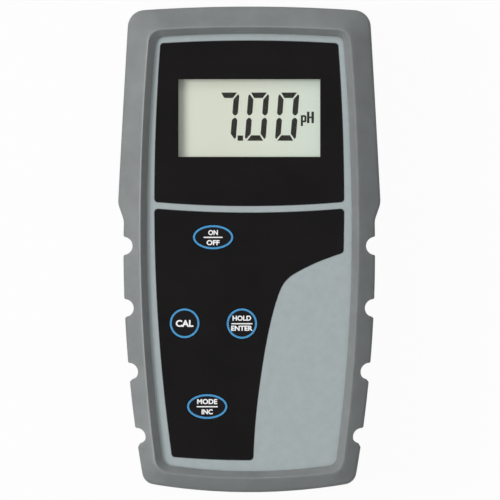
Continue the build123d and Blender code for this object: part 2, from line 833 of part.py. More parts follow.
with BuildPart() as lcd_glass:
    with BuildSketch(Plane.XY.offset(glass_bottom_z)):
        with Locations((0, display_y)):
            Rectangle(glass_width, glass_height)
    extrude(amount=glass_thickness)
lcd_glass.part.label = "lcd_glass"
export_step(lcd_glass.part, "parts/lcd_glass.step")

contact_strip_offset = glass_height / 2 - contact_strip_width / 2
with BuildPart() as lcd_contact_strips:
    with BuildSketch(Plane.XY.offset(board_top_z)):
        with Locations((0, display_y + contact_strip_offset), (0, display_y - contact_strip_offset)):
            Rectangle(glass_width - 2 * contact_strip_end_gap, contact_strip_width)
    extrude(amount=glass_bottom_z - board_top_z)
lcd_contact_strips.part.label = "lcd_contact_strips"
export_step(lcd_contact_strips.part, "parts/lcd_contact_strips.step")

# Main board, cut back round the case bosses, with its screws and larger components
with BuildPart() as main_board:
    with BuildSketch(Plane.XY.offset(board_bottom_z)):
        add(case_outline(-case_wall - board_edge_gap))
        with Locations((0, (board_top + board_bottom) / 2)):
            Rectangle(case_width, board_top - board_bottom, mode=Mode.INTERSECT)
        with Locations(*case_screw_places):
            Circle(case_boss_radius + board_boss_clearance, mode=Mode.SUBTRACT)
        with Locations(*board_screws_at):
            Circle(board_screw_radius + board_boss_clearance / 2, mode=Mode.SUBTRACT)
    extrude(amount=board_thickness)
main_board.part.label = "main_board"
export_step(main_board.part, "parts/main_board.step")

with BuildPart() as board_screws:
    with BuildSketch(Plane.XY.offset(board_bottom_z - board_screw_head)):
        with Locations(*board_screws_at):
            Circle(board_screw_head_radius)
    extrude(amount=board_screw_head)
    with BuildSketch(Plane.XY.offset(board_bottom_z)):
        with Locations(*board_screws_at):
            Circle(board_screw_radius)
    extrude(amount=board_thickness + board_screw_depth - board_screw_tip_gap)
board_screws.part.label = "board_screws"
export_step(board_screws.part, "parts/board_screws.step")

with BuildPart() as controller_chip:
    with BuildSketch(Plane.XY.offset(board_bottom_z)):
        with Locations(controller_place):
            Rectangle(controller_size, controller_size)
    extrude(amount=-controller_height)
    chamfer(controller_chip.edges().filter_by(Axis.Z), controller_size / 12)
controller_chip.part.label = "controller_chip"
export_step(controller_chip.part, "parts/controller_chip.step")

with BuildPart() as input_shield:
    with BuildSketch(Plane.XY.offset(board_bottom_z)):
        with Locations((socket_x, shield_y)):
            RectangleRounded(shield_width, shield_length, shield_height / 4)
    extrude(amount=-shield_height)
    fillet(input_shield.faces().sort_by(Axis.Z)[0].edges(), shield_height / 6)
input_shield.part.label = "input_shield"
export_step(input_shield.part, "parts/input_shield.step")

with BuildPart() as board_crystal:
    with BuildSketch(Plane.XY.offset(board_bottom_z)):
        with Locations(crystal_place):
            SlotOverall(crystal_width, crystal_depth)
    extrude(amount=-crystal_height)
    fillet(board_crystal.faces().sort_by(Axis.Z)[0].edges(), component_edge_radius)
board_crystal.part.label = "board_crystal"
export_step(board_crystal.part, "parts/board_crystal.step")

with BuildPart() as amplifier_chip:
    with BuildSketch(Plane.XY.offset(board_bottom_z)):
        with Locations(amplifier_place):
            Rectangle(amplifier_width, amplifier_depth)
    extrude(amount=-amplifier_height)
    chamfer(amplifier_chip.faces().sort_by(Axis.Z)[0].edges(), amplifier_height / 4)
amplifier_chip.part.label = "amplifier_chip"
export_step(amplifier_chip.part, "parts/amplifier_chip.step")

with BuildPart() as board_capacitors:
    with BuildSketch(Plane.XY.offset(board_bottom_z)):
        with Locations(*capacitor_places):
            Rectangle(2 * capacitor_radius, 2 * capacitor_radius)
    extrude(amount=-capacitor_base)
    with BuildSketch(Plane.XY.offset(board_bottom_z - capacitor_base)):
        with Locations(*capacitor_places):
            Circle(capacitor_radius)
    extrude(amount=capacitor_base - capacitor_height)
    fillet(board_capacitors.edges().group_by(Axis.Z)[0], component_edge_radius)
board_capacitors.part.label = "board_capacitors"
export_step(board_capacitors.part, "parts/board_capacitors.step")

with BuildPart() as board_sounder:
    with BuildSketch(Plane.XY.offset(board_bottom_z)):
        with Locations(sounder_place):
            Circle(sounder_radius)
    extrude(amount=-sounder_height)
    fillet(board_sounder.edges().group_by(Axis.Z)[0], component_edge_radius)
    with BuildSketch(Plane.XY.offset(board_bottom_z - sounder_height)):
        with Locations(sounder_place):
            Circle(sounder_port_radius)
    extrude(amount=sounder_port_depth, mode=Mode.SUBTRACT)
board_sounder.part.label = "board_sounder"
export_step(board_sounder.part, "parts/board_sounder.step")

# Keys: a cap flush with the film, a flange under the case wall, and a stem down to a snap dome
key_flange_top = front_inner_z - key_flange_gap
key_flange_bottom = key_flange_top - key_flange_thickness
dome_top_z = board_top_z + dome_height
dome_sphere = (dome_radius**2 + dome_height**2) / (2 * dome_height)
for name, (centre, half_sizes) in key_shapes.items():
    with BuildPart() as key:
        with BuildSketch(Plane.XY.offset(key_flange_bottom)):
            with Locations(centre):
                Ellipse(half_sizes[0] + key_flange, half_sizes[1] + key_flange)
        extrude(amount=key_flange_thickness)
        with BuildSketch(Plane.XY.offset(key_flange_top)):
            with Locations(centre):
                Ellipse(half_sizes[0] - key_gap, half_sizes[1] - key_gap)
        extrude(amount=film_top_z - key_flange_top)
        fillet(key.edges().group_by(Axis.Z)[-1], key_edge_radius)
        with BuildSketch(Plane.XY.offset(dome_top_z + dome_gap)):
            with Locations(centre):
                Circle(key_stem_radius)
        extrude(amount=key_flange_bottom - dome_top_z - dome_gap)
    key.part.label = name + "_key"
    export_step(key.part, f"parts/{name}_key.step")

    with BuildPart(Plane.XY.offset(board_top_z)) as dome:
        with Locations((centre[0], centre[1], dome_height - dome_sphere)):
            Sphere(dome_sphere)
            Sphere(dome_sphere - dome_thickness, mode=Mode.SUBTRACT)
        split(bisect_by=Plane.XY.offset(board_top_z), keep=Keep.TOP)
    dome.part.label = name + "_dome"
    export_step(dome.part, f"parts/{name}_dome.step")

# Plate that carries the connectors
socket_plane = Plane(origin=(socket_x, 0, split_z), x_dir=(1, 0, 0), z_dir=(0, 1, 0))
jack_plane = Plane(origin=(jack_x, 0, split_z), x_dir=(1, 0, 0), z_dir=(0, 1, 0))
plate_plane = Plane(origin=(0, plate_back, split_z), x_dir=(1, 0, 0), z_dir=(0, 1, 0))
with BuildPart() as connector_plate:
    with BuildSketch(plate_plane):
        RectangleRounded(plate_width, plate_height, panel_plate_margin)
        with Locations((socket_x, 0)):
            Circle(socket_thread_radius + socket_thread_gap, mode=Mode.SUBTRACT)
        with Locations((jack_x, 0)):
            Circle(jack_bush_radius + jack_bush_gap, mode=Mode.SUBTRACT)
    extrude(amount=panel_plate_thickness)
connector_plate.part.label = "connector_plate"
export_step(connector_plate.part, "parts/connector_plate.step")

# Probe socket: a bayonet coaxial connector
socket_rear = plate_back - socket_thread_length
socket_front_face = plate_front + socket_flange
socket_lug_front = socket_tip - socket_lug_setback + socket_lug_radius + socket_lug_relief
with BuildPart() as probe_socket_shell:
    with BuildSketch(socket_plane.offset(socket_rear)):
        Circle(socket_thread_radius)
    extrude(amount=plate_front - socket_rear)
    with BuildSketch(socket_plane.offset(plate_front)):
        Circle(socket_flange_radius)
    extrude(amount=socket_flange)
    with BuildSketch(socket_plane.offset(socket_front_face)):
        Circle(socket_neck_radius)
    extrude(amount=socket_lug_front - socket_front_face)
    with BuildSketch(socket_plane.offset(socket_lug_front)):
        Circle(socket_barrel_radius)
    extrude(amount=socket_tip - socket_lug_front)
    chamfer(probe_socket_shell.edges().group_by(Axis.Y)[-1], socket_barrel_chamfer)
    lug_plane = Plane(
        origin=(socket_x, socket_tip - socket_lug_setback, split_z), x_dir=(0, 1, 0), z_dir=(1, 0, 0)
    )
    with BuildSketch(lug_plane):
        Circle(socket_lug_radius)
    extrude(amount=socket_lug_reach, both=True)
    with BuildSketch(socket_plane.offset(socket_tip)):
        Circle(socket_bore_radius)
    extrude(amount=-socket_bore_depth, mode=Mode.SUBTRACT)
    with BuildSketch(socket_plane.offset(socket_rear)):
        Circle(socket_insulator_radius + socket_insulator_gap)
    extrude(amount=socket_tip - socket_rear, mode=Mode.SUBTRACT)
probe_socket_shell.part.label = "probe_socket_shell"
export_step(probe_socket_shell.part, "parts/probe_socket_shell.step")

socket_floor = socket_tip - socket_bore_depth
insulator_tip = socket_tip - socket_insulator_setback
with BuildPart() as probe_socket_insulator:
    with BuildSketch(socket_plane.offset(socket_rear)):
        Circle(socket_insulator_radius)
    extrude(amount=insulator_tip - socket_rear)
    with BuildSketch(socket_plane.offset(socket_floor)):
        Circle(socket_bore_radius - socket_insulator_gap)
    extrude(amount=socket_insulator_disc)
    with BuildSketch(socket_plane.offset(socket_rear)):
        Circle(socket_contact_radius + socket_contact_gap)
    extrude(amount=insulator_tip - socket_rear, mode=Mode.SUBTRACT)
probe_socket_insulator.part.label = "probe_socket_insulator"
export_step(probe_socket_insulator.part, "parts/probe_socket_insulator.step")

contact_tip = insulator_tip - socket_contact_setback
with BuildPart() as probe_socket_contact:
    with BuildSketch(socket_plane.offset(socket_rear - socket_contact_tail)):
        Circle(socket_contact_radius)
    extrude(amount=contact_tip - socket_rear + socket_contact_tail)
    with BuildSketch(socket_plane.offset(contact_tip)):
        Circle(socket_contact_bore)
    extrude(amount=-socket_contact_bore_depth, mode=Mode.SUBTRACT)
probe_socket_contact.part.label = "probe_socket_contact"
export_step(probe_socket_contact.part, "parts/probe_socket_contact.step")

with BuildPart() as probe_socket_washer:
    with BuildSketch(socket_plane.offset(plate_back)):
        Circle(socket_washer_radius)
        Circle(socket_thread_radius + socket_thread_gap, mode=Mode.SUBTRACT)
    extrude(amount=-socket_washer)
probe_socket_washer.part.label = "probe_socket_washer"
export_step(probe_socket_washer.part, "parts/probe_socket_washer.step")

with BuildPart() as probe_socket_nut:
    with BuildSketch(socket_plane.offset(plate_back - socket_washer)):
        RegularPolygon(socket_nut_size / 2, 6, major_radius=False)
        Circle(socket_thread_radius + socket_thread_gap / 2, mode=Mode.SUBTRACT)
    extrude(amount=-socket_nut)
probe_socket_nut.part.label = "probe_socket_nut"
export_step(probe_socket_nut.part, "parts/probe_socket_nut.step")

# Temperature probe jack
jack_tip = plate_front + jack_bush_reach
with BuildPart() as temperature_jack:
    with BuildSketch(jack_plane.offset(plate_back)):
        Circle(jack_body_radius)
    extrude(amount=-jack_body_length)
    with BuildSketch(jack_plane.offset(plate_back)):
        Circle(jack_bush_radius)
    extrude(amount=jack_tip - plate_back)
    with BuildSketch(jack_plane.offset(jack_tip)):
        Circle(jack_bore_radius)
    extrude(amount=-jack_bore_depth, mode=Mode.SUBTRACT)
temperature_jack.part.label = "temperature_jack"
export_step(temperature_jack.part, "parts/temperature_jack.step")

with BuildPart() as temperature_jack_nut:
    with BuildSketch(jack_plane.offset(plate_front)):
        Circle(jack_nut_radius)
        Circle(jack_bush_radius + jack_bush_gap / 2, mode=Mode.SUBTRACT)
    extrude(amount=jack_nut)
    chamfer(temperature_jack_nut.edges().group_by(Axis.Y)[-1].sort_by(Edge.length)[-1], jack_nut_chamfer)
temperature_jack_nut.part.label = "temperature_jack_nut"
export_step(temperature_jack_nut.part, "parts/temperature_jack_nut.step")

# Leads that rise from the probe contact and from the jack to the board
jack_rear = plate_back - jack_body_length
lead_turn_y = jack_rear - lead_turn_gap
lead_starts = [
    (socket_x, socket_rear - socket_contact_tail, probe_lead_radius),
    (jack_x - jack_lead_pitch / 2, jack_rear, jack_lead_radius),
    (jack_x + jack_lead_pitch / 2, jack_rear, jack_lead_radius),
]
with BuildPart() as signal_leads:
    for x, start_y, radius in lead_starts:
        with BuildLine(Plane(origin=(x, 0, 0), x_dir=(0, 1, 0), z_dir=(1, 0, 0))):
            FilletPolyline(
                (start_y, split_z), (lead_turn_y, split_z), (lead_turn_y, board_bottom_z), radius=lead_bend
            )
        with BuildSketch(Plane(origin=(x, start_y, split_z), x_dir=(1, 0, 0), z_dir=(0, -1, 0))):
            Circle(radius)
        sweep()
signal_leads.part.label = "signal_leads"
export_step(signal_leads.part, "parts/signal_leads.step")

# Battery door with its seal and captive screws
with BuildPart() as battery_door:
    with BuildSketch(Plane.XY.offset(case_back_z)):
        with Locations(bay_centre):
            RectangleRounded(door_width, door_length, door_radius)
    extrude(amount=door_thickness)
    with BuildSketch(Plane.XY.offset(case_back_z)):
        with Locations(*door_screws_at):
            Circle(door_screw_bore)
    extrude(amount=door_screw_bore_depth, mode=Mode.SUBTRACT)
    with BuildSketch(Plane.XY.offset(case_back_z)):
        with Locations(*door_screws_at):
            Circle(door_screw_pass)
    extrude(amount=door_thickness, mode=Mode.SUBTRACT)
    seal_inner = (bay_width + 2 * door_seal_inset, bay_length + 2 * door_seal_inset)
    with BuildSketch(Plane.XY.offset(door_inner_z)):
        with Locations(bay_centre):
            Rectangle(seal_inner[0] + 2 * door_seal_width, seal_inner[1] + 2 * door_seal_width)
            Rectangle(*seal_inner, mode=Mode.SUBTRACT)
    extrude(amount=-door_seal_depth, mode=Mode.SUBTRACT)
battery_door.part.label = "battery_door"
export_step(battery_door.part, "parts/battery_door.step")

with BuildPart() as battery_door_seal:
    with BuildSketch(Plane.XY.offset(door_inner_z)):
        with Locations(bay_centre):
            Rectangle(seal_inner[0] + 2 * door_seal_width, seal_inner[1] + 2 * door_seal_width)
            Rectangle(*seal_inner, mode=Mode.SUBTRACT)
    extrude(amount=-door_seal_depth)
battery_door_seal.part.label = "battery_door_seal"
export_step(battery_door_seal.part, "parts/battery_door_seal.step")

door_head_z = case_back_z + door_screw_bore_depth
with BuildPart() as battery_door_screws:
    with BuildSketch(Plane.XY.offset(door_head_z - door_screw_head)):
        with Locations(*door_screws_at):
            Circle(door_screw_head_radius)
    extrude(amount=door_screw_head)
    with BuildSketch(Plane.XY.offset(door_head_z)):
        with Locations(*door_screws_at):
            Circle(door_screw_radius)
    extrude(amount=door_inner_z + door_screw_length - door_screw_tip_gap - door_head_z)
battery_door_screws.part.label = "battery_door_screws"
export_step(battery_door_screws.part, "parts/battery_door_screws.step")

# Battery cells, head to tail, with their contacts and springs
for index, x in enumerate(cells_x):
    end = 1 if index % 2 else -1
    button_y = bay_middle + end * (bay_length / 2 - contact_thickness)
    cell_plane = Plane(origin=(x, button_y, cell_z), x_dir=(1, 0, 0), z_dir=(0, -end, 0))
    with BuildPart() as cell:
        with BuildSketch(cell_plane):
            Circle(cell_button_radius)
        extrude(amount=cell_button)
        with BuildSketch(cell_plane.offset(cell_button)):
            Circle(cell_radius)
        extrude(amount=cell_length - cell_button)
    cell.part.label = f"battery_cell_{index + 1}"
    export_step(cell.part, f"parts/battery_cell_{index + 1}.step")

with BuildPart() as battery_contacts:
    for end in (1, -1):
        # At the near end the middle pair is bridged, at the far end both outer pairs are
        if end > 0:
            pairs = [cells_x[:1], cells_x[1:3], cells_x[3:]]
        else:
            pairs = [cells_x[:2], cells_x[2:]]
        for pair in pairs:
            plate_at = (sum(pair) / len(pair), cell_z)
            span = contact_width + (pair[-1] - pair[0])
            plane = Plane(
                origin=(plate_at[0], bay_middle + end * bay_length / 2, plate_at[1]),
                x_dir=(1, 0, 0),
                z_dir=(0, -end, 0),
            )
            with BuildSketch(plane):
                Rectangle(span, contact_height)
            extrude(amount=contact_thickness)
    # Tabs of the two end contacts, up to the board
    with BuildSketch(Plane.XY.offset(cell_z + contact_height / 2)):
        with Locations((cells_x[0], contact_tab_y), (cells_x[-1], contact_tab_y)):
            Rectangle(contact_tab_width, contact_thickness)
    extrude(amount=board_bottom_z - cell_z - contact_height / 2)
battery_contacts.part.label = "battery_contacts"
export_step(battery_contacts.part, "parts/battery_contacts.step")

with BuildPart() as battery_springs:
    for index, x in enumerate(cells_x):
        end = -1 if index % 2 else 1
        foot_y = bay_middle + end * (bay_length / 2 - contact_thickness)
        plane = Plane(origin=(x, foot_y, cell_z), x_dir=(1, 0, 0), z_dir=(0, -end, 0))
        with BuildSketch(plane):
            Circle(spring_large_radius)
            Circle(spring_large_radius - 2 * spring_wire, mode=Mode.SUBTRACT)
        extrude(amount=spring_length)
battery_springs.part.label = "battery_springs"
export_step(battery_springs.part, "parts/battery_springs.step")

# Tilt stand on its hinge pin
with BuildPart() as tilt_stand:
    with BuildSketch(Plane.XY.offset(stand_hinge_z - stand_thickness / 2)):
        with Locations((0, stand_hinge_y - stand_length / 2)):
            RectangleRounded(stand_width, stand_length, stand_radius)
        with Locations((0, stand_hinge_y - stand_radius)):
            Rectangle(stand_width, 2 * stand_radius)
        with Locations((0, stand_hinge_y - stand_length / 2)):
            RectangleRounded(
                stand_width - 2 * stand_bar,
                stand_length - 2 * stand_bar,
                stand_radius / 2,
                mode=Mode.SUBTRACT,
            )
    extrude(amount=stand_thickness)
    with BuildSketch(hinge_plane):
        Circle(stand_barrel_radius)
    extrude(amount=stand_width / 2, both=True)
    with BuildSketch(hinge_plane):
        Circle(stand_pin_radius + stand_pin_fit)
    extrude(amount=stand_width / 2, both=True, mode=Mode.SUBTRACT)
    # Grip grooves across the bar that a finger lifts
    with BuildSketch(Plane.XY.offset(stand_hinge_z - stand_thickness / 2)):
        with Locations((0, stand_hinge_y - stand_length + stand_bar / 2)):
            with GridLocations(0, stand_grip_pitch, 1, stand_grip_count):
                SlotOverall(stand_grip_length, stand_grip_width)
    extrude(amount=stand_grip_depth, mode=Mode.SUBTRACT)
tilt_stand.part.label = "tilt_stand"
export_step(tilt_stand.part, "parts/tilt_stand.step")

with BuildPart() as stand_hinge_pin:
    with BuildSketch(hinge_plane):
        Circle(stand_pin_radius)
    extrude(amount=stand_width / 2 + stand_gap + stand_pin_grip, both=True)
stand_hinge_pin.part.label = "stand_hinge_pin"
export_step(stand_hinge_pin.part, "parts/stand_hinge_pin.step")
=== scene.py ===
import math

import bmesh
import bpy
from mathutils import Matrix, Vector


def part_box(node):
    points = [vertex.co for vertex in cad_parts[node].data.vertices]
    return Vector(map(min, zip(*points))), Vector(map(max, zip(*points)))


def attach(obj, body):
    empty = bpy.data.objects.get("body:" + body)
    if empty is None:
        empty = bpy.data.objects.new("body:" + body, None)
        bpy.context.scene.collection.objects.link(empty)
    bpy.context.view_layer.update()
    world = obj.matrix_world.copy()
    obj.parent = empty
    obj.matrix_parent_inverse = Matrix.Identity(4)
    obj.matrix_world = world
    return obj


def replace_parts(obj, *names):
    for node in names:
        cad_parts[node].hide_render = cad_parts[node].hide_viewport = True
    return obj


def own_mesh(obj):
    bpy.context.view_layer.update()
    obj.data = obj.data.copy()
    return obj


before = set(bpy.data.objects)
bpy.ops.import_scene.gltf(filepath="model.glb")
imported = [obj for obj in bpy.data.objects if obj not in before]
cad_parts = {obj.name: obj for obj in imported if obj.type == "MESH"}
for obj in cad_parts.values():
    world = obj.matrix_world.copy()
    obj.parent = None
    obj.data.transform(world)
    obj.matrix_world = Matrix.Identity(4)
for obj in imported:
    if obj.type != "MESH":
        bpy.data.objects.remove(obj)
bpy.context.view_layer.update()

MM = 0.001
WELD = 1e-6
FILM_TOP = 38.2
CASE_FACE = 38.5


# Finishes


def tone(red, green, blue):
    """A colour as a screen shows it, 0 to 255, in the light values that shaders use."""
    return tuple((c / 255) ** 2.2 for c in (red, green, blue)) + (1.0,)


def node_with(tree, kind, **settings):
    """A new node with its input sockets set by name, spaces written as underscores."""
    node = tree.nodes.new(kind)
    for name, value in settings.items():
        node.inputs[name.replace("_", " ")].default_value = value
    return node


def finish(name, light, dark, patch, gloss, grain, depth, metal=0.0, specular=0.5):
    """A finish that drifts between two tones over patches, with uneven gloss and a fine grain.
    patch, grain and depth are in millimetres, gloss is the lowest and highest roughness."""
    material = bpy.data.materials.new(name)
    material.use_nodes = True
    tree = material.node_tree
    shader = tree.nodes["Principled BSDF"]
    shader.inputs["Metallic"].default_value = metal
    shader.inputs["Specular IOR Level"].default_value = specular
    place = tree.nodes.new("ShaderNodeTexCoord")
    drift = node_with(tree, "ShaderNodeTexNoise", Scale=1 / (patch * MM), Detail=5.0, Roughness=0.6)
    tree.links.new(place.outputs["Object"], drift.inputs["Vector"])
    ramp = tree.nodes.new("ShaderNodeValToRGB")
    ramp.color_ramp.elements[0].position, ramp.color_ramp.elements[1].position = 0.32, 0.68
    ramp.color_ramp.elements[0].color, ramp.color_ramp.elements[1].color = dark, light
    tree.links.new(drift.outputs["Fac"], ramp.inputs["Fac"])
    tree.links.new(ramp.outputs["Color"], shader.inputs["Base Color"])
    worn = node_with(
        tree, "ShaderNodeMapRange", From_Min=0.3, From_Max=0.7, To_Min=gloss[0], To_Max=gloss[1]
    )
    tree.links.new(drift.outputs["Fac"], worn.inputs["Value"])
    tree.links.new(worn.outputs["Result"], shader.inputs["Roughness"])
    pits = node_with(tree, "ShaderNodeTexNoise", Scale=1 / (grain * MM), Detail=3.0, Roughness=0.55)
    tree.links.new(place.outputs["Object"], pits.inputs["Vector"])
    bump = node_with(tree, "ShaderNodeBump", Strength=0.8, Distance=depth * MM)
    tree.links.new(pits.outputs["Fac"], bump.inputs["Height"])
    tree.links.new(bump.outputs["Normal"], shader.inputs["Normal"])
    return material


def shader_of(material):
    """The one surface shader of a finish."""
    return material.node_tree.nodes["Principled BSDF"]


def along(material, axis, stops):
    """Paints a finish in bands or a drift along an axis of the frame: stops are (place in mm, colour)."""
    tree = material.node_tree
    place = tree.nodes.new("ShaderNodeTexCoord")
    parts = tree.nodes.new("ShaderNodeSeparateXYZ")
    tree.links.new(place.outputs["Object"], parts.inputs["Vector"])
    start, end = stops[0][0], stops[-1][0]
    span = node_with(tree, "ShaderNodeMapRange", From_Min=start * MM, From_Max=end * MM)
    tree.links.new(parts.outputs[axis], span.inputs["Value"])
    ramp = tree.nodes.new("ShaderNodeValToRGB")
    while len(ramp.color_ramp.elements) < len(stops):
        ramp.color_ramp.elements.new(0.5)
    for element, (at, colour) in zip(ramp.color_ramp.elements, stops):
        element.position = (at - start) / (end - start)
        element.color = colour
    tree.links.new(span.outputs["Result"], ramp.inputs["Fac"])
    tree.links.new(ramp.outputs["Color"], shader_of(material).inputs["Base Color"])
    return material


smoky_rubber = finish(
    "smoky_rubber", tone(126, 130, 130), tone(117, 121, 121), 9, (0.36, 0.46), 0.35, 0.012
)
rubber = shader_of(smoky_rubber)
rubber.inputs["Subsurface Weight"].default_value = 0.55
rubber.inputs["Subsurface Radius"].default_value = (1.0, 1.0, 0.9)
rubber.inputs["Subsurface Scale"].default_value = 0.004

silver_paint = finish(
    "silver_paint", tone(148, 157, 159), tone(142, 151, 152), 2.5, (0.4, 0.5), 0.12, 0.006, metal=0.25
)
rear_plastic = finish(
    "rear_plastic", tone(150, 158, 161), tone(140, 149, 152), 3, (0.48, 0.6), 0.18, 0.012
)
stand_plastic = finish(
    "stand_plastic", tone(112, 118, 122), tone(102, 108, 112), 3, (0.45, 0.58), 0.2, 0.014
)
black_film = finish(
    "black_film", tone(25, 23, 24), tone(20, 18, 19), 14, (0.3, 0.38), 0.5, 0.003, specular=0.06
)
key_film = finish(
    "key_film", tone(26, 24, 26), tone(20, 19, 21), 6, (0.32, 0.42), 0.4, 0.004, specular=0.07
)
blue_ink = finish("blue_ink", tone(62, 148, 198), tone(42, 124, 178), 0.8, (0.4, 0.5), 0.2, 0.002)
white_ink = finish("white_ink", tone(250, 250, 250), tone(238, 239, 240), 1.2, (0.4, 0.5), 0.2, 0.002)
display_ink = finish(
    "display_ink", tone(30, 28, 22), tone(24, 23, 18), 1.5, (0.3, 0.35), 0.3, 0.001, specular=0.05
)
clear_window = finish(
    "clear_window", tone(150, 154, 150), tone(142, 147, 143), 8, (0.05, 0.09), 2.0, 0.001
)
shader_of(clear_window).inputs["Alpha"].default_value = 0.04
display_face = finish(
    "display_face", tone(210, 214, 200), tone(206, 211, 198), 4, (0.3, 0.36), 0.6, 0.002, specular=0.2
)
along(
    display_face,
    "X",
    [
        (-23, tone(226, 230, 214)),
        (-10, tone(224, 228, 210)),
        (6, tone(226, 233, 217)),
        (23, tone(219, 231, 217)),
    ],
)
frame_plastic = finish(
    "frame_plastic", tone(226, 227, 222), tone(216, 218, 213), 3, (0.45, 0.55), 0.3, 0.004
)
contact_rubber = finish("contact_rubber", tone(88, 88, 90), tone(52, 52, 55), 0.3, (0.6, 0.7), 0.2, 0.006)
seal_rubber = finish("seal_rubber", tone(40, 40, 42), tone(30, 30, 32), 1.5, (0.55, 0.68), 0.15, 0.008)
solder_mask = finish("solder_mask", tone(28, 104, 62), tone(20, 84, 50), 2.2, (0.25, 0.36), 0.5, 0.008)
screw_steel = finish(
    "screw_steel", tone(196, 197, 198), tone(170, 172, 174), 0.9, (0.24, 0.36), 0.1, 0.003, metal=1.0
)
chip_black = finish("chip_black", tone(38, 38, 40), tone(28, 28, 30), 1.2, (0.5, 0.62), 0.1, 0.008)
tinned_steel = finish(
    "tinned_steel", tone(206, 207, 204), tone(182, 184, 182), 2.0, (0.22, 0.36), 0.3, 0.004, metal=1.0
)
plate_black = finish("plate_black", tone(44, 45, 47), tone(34, 35, 37), 2.0, (0.5, 0.62), 0.16, 0.014)
bright_nickel = finish(
    "bright_nickel", tone(214, 211, 203), tone(192, 189, 181), 1.4, (0.12, 0.24), 0.15, 0.002, metal=1.0
)
insulator_white = finish(
    "insulator_white", tone(240, 239, 234), tone(229, 228, 222), 1.2, (0.4, 0.5), 0.2, 0.004
)
gold_plate = finish(
    "gold_plate", tone(228, 186, 98), tone(206, 162, 78), 0.8, (0.16, 0.28), 0.1, 0.002, metal=1.0
)
spring_steel = finish(
    "spring_steel", tone(190, 190, 188), tone(160, 160, 158), 0.6, (0.22, 0.34), 0.1, 0.002, metal=1.0
)
lead_sleeve = finish("lead_sleeve", tone(52, 53, 56), tone(38, 39, 42), 1.0, (0.42, 0.55), 0.2, 0.004)
capacitor_sleeve = finish(
    "capacitor_sleeve", tone(40, 46, 74), tone(30, 35, 60), 1.2, (0.3, 0.42), 0.3, 0.003
)
cell_sleeve = finish(
    "cell_sleeve", tone(66, 70, 76), tone(54, 58, 64), 2.5, (0.24, 0.34), 0.4, 0.003, metal=0.4
)
CELL_COUNT = 4
CELL_RIM = 1.6
CELL_RIM_EDGE = 0.1
rim_steel = tone(196, 197, 198)
cell_low, cell_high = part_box("battery_cell_1")
cell_foot, cell_top = cell_low.y / MM, cell_high.y / MM
along(
    cell_sleeve,
    "Y",
    [
        (cell_foot, rim_steel),
        (cell_foot + CELL_RIM, rim_steel),
        (cell_foot + CELL_RIM + CELL_RIM_EDGE, tone(58, 62, 68)),
        (cell_top - CELL_RIM - CELL_RIM_EDGE, tone(66, 70, 76)),
        (cell_top - CELL_RIM, rim_steel),
        (cell_top, rim_steel),
    ],
)


# Shapes


def show(name, mesh, body, crease=35):
    """Puts a finished mesh in the scene on its body, soft where it curves and sharp at its edges."""
    for face in mesh.polygons:
        face.use_smooth = True
    mesh.set_sharp_from_angle(angle=math.radians(crease))
    piece = bpy.data.objects.new(name, mesh)
    bpy.context.scene.collection.objects.link(piece)
    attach(piece, body)
    return piece


def mesh_of(shape, name, material):
    """Closes a bmesh: outward faces, one material, a mesh of its own."""
    bmesh.ops.recalc_face_normals(shape, faces=shape.faces)
    mesh = bpy.data.meshes.new(name)
    shape.to_mesh(mesh)
    shape.free()
    mesh.materials.append(material)
    return mesh


def dressed(node, name, material, body="meter", crease=35):
    """A welded copy of a CAD node, shaded softly, that takes the node's place."""
    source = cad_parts[node]
    shape = bmesh.new()
    shape.from_mesh(source.data)
    bmesh.ops.remove_doubles(shape, verts=shape.verts, dist=WELD)
    mesh = bpy.data.meshes.new(name)
    shape.to_mesh(mesh)
    shape.free()
    for layer in [a.name for a in mesh.attributes if a.name == "custom_normal"]:
        mesh.attributes.remove(mesh.attributes[layer])
    mesh.materials.clear()
    mesh.materials.append(material)
    piece = show(name, mesh, body, crease)
    even = piece.modifiers.new("even_shading", "WEIGHTED_NORMAL")
    even.keep_sharp = True
    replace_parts(piece, node)
    return piece


def plates(name, outlines, low, high, material, body):
    """Closed flat plates over outlines in mm, between two heights in mm."""
    shape = bmesh.new()
    for outline in outlines:
        under = [shape.verts.new((x * MM, y * MM, low * MM)) for x, y in outline]
        over = [shape.verts.new((x * MM, y * MM, high * MM)) for x, y in outline]
        shape.faces.new(under[::-1])
        shape.faces.new(over)
        for i in range(len(outline)):
            j = (i + 1) % len(outline)
            shape.faces.new((under[i], under[j], over[j], over[i]))
    return show(name, mesh_of(shape, name, material), body)


def oval_ring(name, centre, outer, width, low, high, material, body, steps=96):
    """A closed flat ring that follows an oval, with the same width all round."""
    shape = bmesh.new()
    loops = []
    for inset, z in ((0, low), (0, high), (width, high), (width, low)):
        loop = []
        for i in range(steps):
            turn = 2 * math.pi * i / steps
            point = Vector((outer[0] * math.cos(turn), outer[1] * math.sin(turn)))
            inward = Vector((math.cos(turn) / outer[0], math.sin(turn) / outer[1])).normalized()
            point -= inset * inward
            loop.append(shape.verts.new(((centre[0] + point.x) * MM, (centre[1] + point.y) * MM, z * MM)))
        loops.append(loop)
    for k in range(4):
        near, far = loops[k], loops[(k + 1) % 4]
        for i in range(steps):
            j = (i + 1) % steps
            shape.faces.new((near[i], near[j], far[j], far[i]))
    return show(name, mesh_of(shape, name, material), body)


